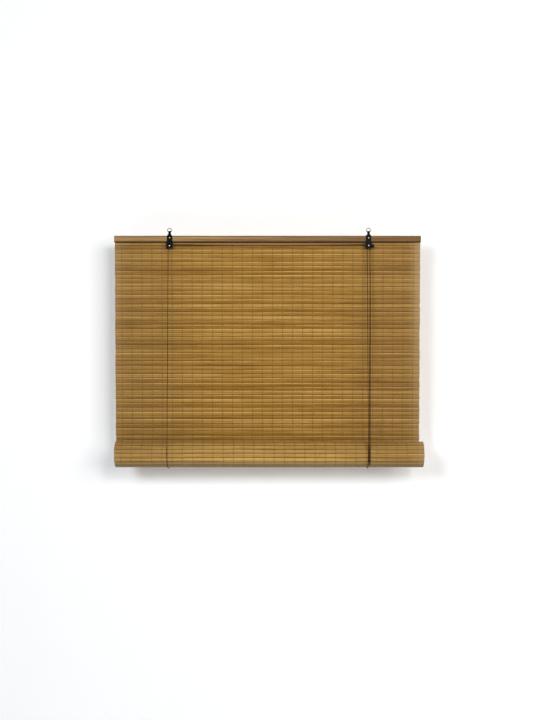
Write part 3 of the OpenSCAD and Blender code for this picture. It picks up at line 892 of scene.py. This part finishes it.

# %% [markdown]
# The warp threads are cotton, browned like the slats on the hanging mat and a little paler on the
# roll. On the mat a thread is painted darker where it dips into a seam, as painted shade. A mark
# painted at every seam would have to follow the uneven seams, so how deep a thread lies is read
# from its distance to the middle of the mat.

# %% Thread finish


def cotton(name, stops, shade_in_seams):
    start, shader, material = new_finish(name, Specular_IOR_Level=0.2)
    along, around, tone = grain_of(start)
    strand = cloudy(joined(along * 420 + around * 2.0, around, tone * 90))
    patch = cloudy(joined(along * 20, 0.0, tone * 60))
    colour = from_ramp(strand * 0.6 + patch * 0.6 - 0.1, stops)
    if shade_in_seams:
        # Painted shade: a thread is painted darker where it lies deep in a seam
        y = split(spot_of(start))[1]
        colour = mixed(ease(abs(y - MAT_Y), 0.5 * MM, 1.2 * MM, 0.85, 0.0), colour, BITE_STAIN_AND_SHADE)
    plug(shader, "Base Color", colour)
    plug(shader, "Roughness", 0.8 + strand * 0.15)
    plug(shader, "Normal", bumpy(strand, 0.1 * MM, 0.6))
    return material


thread_tan = cotton(
    "thread_tan", [(0.2, 104, 72, 26), (0.5, 138, 100, 45), (0.85, 160, 121, 63)], shade_in_seams=True)
thread_pale = cotton(
    "thread_pale", [(0.2, 122, 88, 42), (0.5, 154, 116, 62), (0.85, 176, 139, 84)], shade_in_seams=False)
print("thread finishes", thread_tan.name, thread_pale.name)

# %% [markdown]
# Thirty warp lines hold the slats together. Each is a pair of cotton threads, one in front of the
# slats and one behind, and the two cross in every seam. They lie close on the slats, so their
# route is taken from the slats themselves.

# %% Warp threads
THREADS, THREAD_SIDES, THREAD_TURN = 30, 5, 0.3
THREAD_CRISP = 60
THREAD_W, THREAD_T = 1.2 * MM, 0.5 * MM
THREAD_CROSS, THREAD_LIES = 0.35 * MM, 0.30
# Across a slat, deep in it, and the share of the sideways cross
SEAM_PLACE = (0.98, 0.25)
THREAD_PLACES = [(*SEAM_PLACE, 1.0), (0.72, 1.0, 0.55), (0.0, 1.06, 0.0), (-0.72, 1.0, -0.55)]
thread_xs = [(j - (THREADS - 1) / 2) * THREAD_STEP for j in range(THREADS)]


def run_thread(skin, line, tone):
    """A flat thread through places, each with the direction out of the slat."""
    rings, grain, gone = [], [], 0.0
    for i, (place, out) in enumerate(line):
        gone += (place - line[i - 1][0]).length if i else 0.0
        ring = []
        for j in range(THREAD_SIDES):
            angle = math.tau * (j / THREAD_SIDES) + THREAD_TURN
            aside = Vector((THREAD_W / 2 * math.cos(angle), 0, 0))
            ring.append(place + aside + out * (THREAD_T / 2 * math.sin(angle)))
        rings.append(ring)
        grain.append([(gone, j / THREAD_SIDES, tone) for j in range(THREAD_SIDES)])
    skin.loft(rings, grain)


def thread_line(slats, x, face, put):
    """One thread down a row of slats: over each slat on one face, into each seam."""
    line = []

    def add_place(slat, across, deep, aside):
        up, depth = slat_point(slat, x, across, face * deep)
        depth += face * (THREAD_T * THREAD_LIES if deep > 0.5 else 0.0)
        out = (put(slat, x, 0, face * MM) - put(slat, x, 0, 0)).normalized()
        line.append((put(slat, x + aside, up, depth), out))

    for k, slat in enumerate(slats):
        aside = THREAD_CROSS * (1 if k % 2 else -1) * face
        for across, deep, share in THREAD_PLACES:
            add_place(slat, across, deep, aside * share)
    add_place(slats[-1], -SEAM_PLACE[0], SEAM_PLACE[1], 0.0)
    return line


for name, slats in mat_parts.items():
    skin = Skin()
    for x in thread_xs:
        tone = rng.random()
        for face in (-1, 1):
            run_thread(skin, thread_line(slats, x, face, put_hanging), tone)
    threads = skin.piece(
        f"{name}_warp_threads", thread_tan, ["warp_threads"], THREAD_CRISP)
    if name == "upper":
        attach(threads, "headrail")
    else:
        shortens(threads, mat_split, ROLL_Z)

# %% [markdown]
# The rest of the mat is wound forwards round a rod: a spiral of slats, each a straight chord, with
# the back of the mat outside. Each corner of the spiral lies a slat further round than the last,
# on a turn that grows with the angle, and the outer end meets the hanging mat at its lowest seam.
# The corners of the outer turns are shifted a little, since these slats are not even either.

# %% Spiral of the roll
rng = random.Random(88)
ROLLED, OUTER = 88, 20
TURN_PITCH, ROLL_START = 3.8 * MM, 13.03 * MM
CORNER_SHIFT, ROLL_TILT = 0.035, 0.02
ROLL_R = 36 * MM
ROLL_TONE, OWN_TONE, PAINTED_LIGHT_UP, PAINTED_SHADE_DOWN = 0.38, 0.2, 0.45, 1.3


def roll_reach(angle):
    return ROLL_START + TURN_PITCH * angle / math.tau


angles = [0.0]
for k in range(ROLLED):
    angles.append(angles[-1] + 2 * math.asin(SLAT_PITCH / 2 / roll_reach(angles[-1])))
for k in range(ROLLED - OUTER, ROLLED - 1):
    angles[k] += rng.uniform(-CORNER_SHIFT, CORNER_SHIFT)


def spiral(angle):
    reach, turned = roll_reach(angle), angle - angles[-1]
    return Vector((0, ROLL_Y + reach * math.cos(turned), ROLL_Z + reach * math.sin(turned)))


roll_slats = []
curves = [wave(rng, SEAM_SWAY) for _ in angles]
for k, (a, b) in enumerate(zip(angles, angles[1:])):
    low, high = spiral(a), spiral(b)
    half = (high - low).length / 2
    edges = edge_curve(-half, curves[k], 0), edge_curve(half, curves[k + 1], 0)
    slat = split_slat(rng, *edges, ROLL_TILT)
    slat["mid"], slat["up"] = (low + high) / 2, (high - low).normalized()
    slat["out"] = Vector((1, 0, 0)).cross(slat["up"]) * -1
    # Painted light and shade: the upper slats of the roll are painted paler, as if lit from above,
    # and the lower ones greyer
    height = (slat["mid"].z - ROLL_Z) / ROLL_R
    painted_light_and_shade = PAINTED_LIGHT_UP * height if height > 0 else -PAINTED_SHADE_DOWN * height
    slat["tone"] = ROLL_TONE + OWN_TONE * slat["tone"] + painted_light_and_shade
    roll_slats.append(slat)
print("the roll turns", round(angles[-1] / math.tau, 2), "times")

# %% [markdown]
# The slats of the roll are set on the chords of that spiral. Their tone goes with their height, as
# painted light and shade: the upper ones are painted paler, as golden as the mat, as if lit from
# above, and the lower ones are painted grey as painted shade. Threads are run only over the outer
# turn, because those inside can't be seen.

# %% Roll


def put_rolled(slat, x, up, depth):
    return Vector((x, 0, 0)) + slat["mid"] + slat["up"] * up + slat["out"] * depth


skin = Skin()
for k, slat in enumerate(roll_slats):
    shown = k >= ROLLED - OUTER
    add_slat(skin, slat, ROLL_SHIFT - BLIND_W / 2, ROLL_SHIFT + BLIND_W / 2, put_rolled, shown)
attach(skin.piece("rolled_slats", bamboo_back, ["mat_roll"]), "roll")

skin = Skin()
outer = list(reversed(roll_slats[-OUTER:]))
for x in thread_xs:
    run_thread(skin, thread_line(outer, x + ROLL_SHIFT, 1, put_rolled), rng.random())
threads = skin.piece(
    "rolled_warp_threads", thread_pale, ["roll_threads"], THREAD_CRISP)
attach(threads, "roll")

# %% [markdown]
# The headrail is two wooden battens nailed together with the mat's first slat between them. They
# are planed bamboo, paler at the left end than at the right, with dark streaks along the grain and
# a warm upper edge. They are painted darker towards the bottom as painted shade, and darkest along
# the lower edge as the painted shadow line under the batten.

# %% Batten finish
DARK_GRAIN, WARM_BAND, PALE_BLOTCH = srgb(88, 60, 28), srgb(98, 56, 26), srgb(168, 136, 88)
PAINTED_LOW_SHADE, TOP_EDGE, PAINTED_UNDER_EDGE_SHADE = srgb(98, 70, 36), srgb(122, 80, 14), srgb(62, 36, 10)


def batten_wood(name, left, right):
    start, shader, material = new_finish(name, Specular_IOR_Level=0.22)
    grain = grain_of(start)
    along = grain[0]
    fibre = marks(grain, per_metre=9, per_width=420, seed=40, detail=4, rough=0.6)
    band = marks(grain, per_metre=2.4, per_width=190, seed=17, detail=3)
    blotch = marks(grain, per_metre=7, per_width=60, seed=31)
    side = ease(along + (blotch - 0.5) * 0.4, -0.45, 0.45)
    colour = mixed(side, left, right)
    colour = mixed(ease(fibre, 0.45, 0.70, 0.0, 0.55), colour, DARK_GRAIN)
    colour = mixed(ease(band, 0.54, 0.66, 0.0, 0.75), colour, WARM_BAND)
    colour = mixed(ease(blotch, 0.55, 0.8, 0.0, 0.5), colour, PALE_BLOTCH)
    height = split(spot_of(start))[2]
    # Painted shade: darker towards the bottom of the batten
    colour = mixed(ease(height, -8.5 * MM, 5.0 * MM, 0.5, 0.0), colour, PAINTED_LOW_SHADE)
    colour = mixed(ease(height, 5.4 * MM, 6.8 * MM, 0.0, 0.95), colour, TOP_EDGE)
    # Painted shade: the lower edge, as the shadow line under the batten
    colour = mixed(ease(height, -8.2 * MM, -5.6 * MM, 0.95, 0.0), colour, PAINTED_UNDER_EDGE_SHADE)
    plug(shader, "Base Color", colour)
    plug(shader, "Roughness", 0.48 + fibre * 0.25)
    plug(shader, "Normal", bumpy(fibre, 0.1 * MM, 0.5))
    return material


headrail_wood = batten_wood("headrail_wood", srgb(172, 140, 90), srgb(120, 90, 54))
print("batten finish", headrail_wood.name)

# %% [markdown]
# A batten is a plain bar with eased edges. A cube with a bevel would do, but a loft of rounded
# rings also lets it wander by less than a tenth of a millimetre, as planed wood does, so that its
# edges catch the light unevenly. Its size is read from the frame.

# %% Battens
BAR_RINGS, BAR_SWAY = 46, 0.08 * MM
CORNERS = [(1, 1), (-1, 1), (-1, -1), (1, -1)]


def add_bar(skin, low, high, edge, tone, rng):
    """A planed bar along X with edges of radius `edge`, very slightly uneven."""
    lift, push = wave(rng, BAR_SWAY), wave(rng, BAR_SWAY / 3)
    half_y, half_z = (high[1] - low[1]) / 2, (high[2] - low[2]) / 2
    mid_y, mid_z = (high[1] + low[1]) / 2, (high[2] + low[2]) / 2
    places = [low[0], low[0] + edge / 2]
    places += [low[0] + (high[0] - low[0]) * i / BAR_RINGS for i in range(1, BAR_RINGS)]
    places += [high[0] - edge / 2, high[0]]
    rings, grain = [], []
    for i, x in enumerate(places):
        radius = edge / 2 if i in (0, len(places) - 1) else edge
        ring, numbers, gone = [], [], 0.0
        for c, (side_y, side_z) in enumerate(CORNERS):
            for step in range(3):
                angle = math.radians(90 * c + 45 * step)
                y = mid_y + side_y * (half_y - edge) + radius * math.cos(angle)
                z = mid_z + side_z * (half_z - edge) + radius * math.sin(angle)
                point = Vector((x, y + push(x), z + lift(x)))
                gone += (point - ring[-1]).length if ring else 0.0
                ring.append(point)
                numbers.append((x, gone, tone))
        rings.append(ring)
        grain.append(numbers)
    skin.loft(rings, grain)


rng = random.Random(7)
for name, tone, edge in (("front_batten", 0.3, 1.4 * MM), ("rear_batten", 0.7, 1.0 * MM)):
    skin = Skin()
    add_bar(skin, *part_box(name), edge, tone, rng)
    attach(skin.piece(f"headrail_{name}", headrail_wood, [name]), "headrail")

# %% [markdown]
# The rod in the middle of the roll shows only at the two ends. It is a turned dowel with a small
# chamfer, so it is a loft of circles, with rings of growth painted on its end grain.

# %% Rod
ROD_SIDES, ROD_CHAMFER, ROD_CRISP = 48, 1.2 * MM, 25
start, shader, dowel_wood = new_finish("dowel_wood", Roughness=0.6)
along = grain_of(start)[0]
_, spot_y, spot_z = split(spot_of(start))
growth = cloudy(joined(spot_y * 240, spot_z * 420, along * 3))
fibre = cloudy(joined(along * 20, spot_y * 500, spot_z * 500), detail=3)
share = growth * 0.6 + fibre * 0.5 - 0.05
stops = [(0.25, 126, 92, 52), (0.55, 166, 130, 82), (0.85, 192, 160, 112)]
plug(shader, "Base Color", from_ramp(share, stops))
plug(shader, "Normal", bumpy(fibre, 0.1 * MM, 0.5))

low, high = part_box("bottom_rod")
rod_r = (high[2] - low[2]) / 2
turn = 360 * (ROD_SIDES - 1) / ROD_SIDES
rings, grain = [], []
for x, radius in (
    (low[0], rod_r - ROD_CHAMFER), (low[0] + ROD_CHAMFER, rod_r), (0.0, rod_r),
    (high[0] - ROD_CHAMFER, rod_r), (high[0], rod_r - ROD_CHAMFER),
):
    ring = arc((ROLL_Y, ROLL_Z), radius, 0, turn, ROD_SIDES - 1, lambda y, z: Vector((x, y, z)))
    rings.append(ring)
    grain.append([(x, i / ROD_SIDES, 0.5) for i in range(ROD_SIDES)])
skin = Skin()
skin.loft(rings, grain)
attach(skin.piece("roll_dowel", dowel_wood, ["bottom_rod"], ROD_CRISP), "roll")

# %% [markdown]
# The brackets and covers are stamped sheet, painted black like the pulleys and the cam. The rivets
# and screws are bright plated steel, painted dark round their rims as painted shade, so that only
# the part that faces the front stays bright; the rings are bent from grey wire and the nails are
# dull. One function serves them all, because each is the same thing with other numbers: fine specks
# and wide clouds pick a colour from a ramp.

# %% Metal finishes


def worn_metal(name, stops, metal, rough, speck_scale, gloss=0.5, rim=None):
    start, shader, material = new_finish(name, Metallic=metal, Specular_IOR_Level=gloss)
    spot = spot_of(start)

    def scaled(scale):
        return spot.add("ShaderNodeVectorMath", {"operation": "SCALE"}, {0: spot, "Scale": scale})

    speck, cloud = cloudy(scaled(speck_scale), 3), cloudy(scaled(speck_scale / 9), 2)
    colour = from_ramp(speck * 0.5 + cloud * 0.5, stops)
    if rim:
        # Painted shade: a plated head is painted dark round its rim, bright only where it faces the
        # front
        front = 0.0 - split(start.add("ShaderNodeTexCoord", out="Normal"))[1]
        colour = mixed(ease(front, 0.80, 0.98), rim, colour)
    plug(shader, "Base Color", colour)
    plug(shader, "Roughness", rough + (speck - 0.5) * 0.3)
    plug(shader, "Normal", bumpy(speck, 0.06 * MM, 0.4))
    return material


black_paint = worn_metal(
    "black_paint", [(0.3, 4, 4, 4), (0.6, 8, 7, 6), (0.8, 17, 15, 13)],
    metal=0.0, rough=0.34, speck_scale=2400, gloss=0.045)
bright_plate = worn_metal(
    "bright_plate", [(0.3, 176, 172, 164), (0.6, 214, 211, 204), (0.8, 236, 234, 228)],
    metal=1.0, rough=0.3, speck_scale=1800, rim=srgb(74, 70, 64))
grey_wire = worn_metal(
    "grey_wire", [(0.3, 46, 44, 42), (0.6, 76, 73, 70), (0.8, 110, 107, 103)],
    metal=1.0, rough=0.34, speck_scale=2000)
nail_steel = worn_metal(
    "nail_steel", [(0.3, 98, 84, 66), (0.6, 136, 120, 98), (0.8, 160, 146, 124)],
    metal=0.8, rough=0.4, speck_scale=2200)
print("metal finishes", [m.name for m in (black_paint, bright_plate, grey_wire, nail_steel)])

# %% [markdown]
# The shapes of the metal pieces are right in the CAD model, so those nodes stay. They only get a
# finish, and the black ones a softened edge by modifiers, because a perfectly sharp edge catches
# no light.

# %% Metal pieces
SHEET_EDGE, WHEEL_EDGE = 0.2 * MM, 0.15 * MM
EDGE_ANGLE, EDGE_STEPS, WELD_GAP = 40, 2, 0.01 * MM
DRESSING = [
    (("left_bracket", "left_cover", "lock_bracket", "lock_cover"), black_paint, SHEET_EDGE),
    (("left_pulley", "lock_roller", "lock_cam", "cam_pin"), black_paint, WHEEL_EDGE),
    (("left_rivet", "lock_rivet", "left_screw", "lock_screw"), bright_plate, 0.0),
    (("left_ring", "right_ring"), grey_wire, 0.0),
    (("batten_nails",), nail_steel, 0.0),
]


def dress(node, material, edge):
    """Give a CAD node its finish, and ease its edges."""
    thing = frame["nodes"][node]
    thing.data.materials.clear()
    thing.data.materials.append(material)
    if edge:
        weld = thing.modifiers.new("weld", "WELD")
        weld.merge_threshold = WELD_GAP
        bevel = thing.modifiers.new("edge", "BEVEL")
        bevel.width, bevel.segments = edge, EDGE_STEPS
        bevel.limit_method, bevel.angle_limit = "ANGLE", math.radians(EDGE_ANGLE)


for nodes, material, edge in DRESSING:
    for node in nodes:
        dress(node, material, edge)
    print(material.name, "on", len(nodes), "nodes")
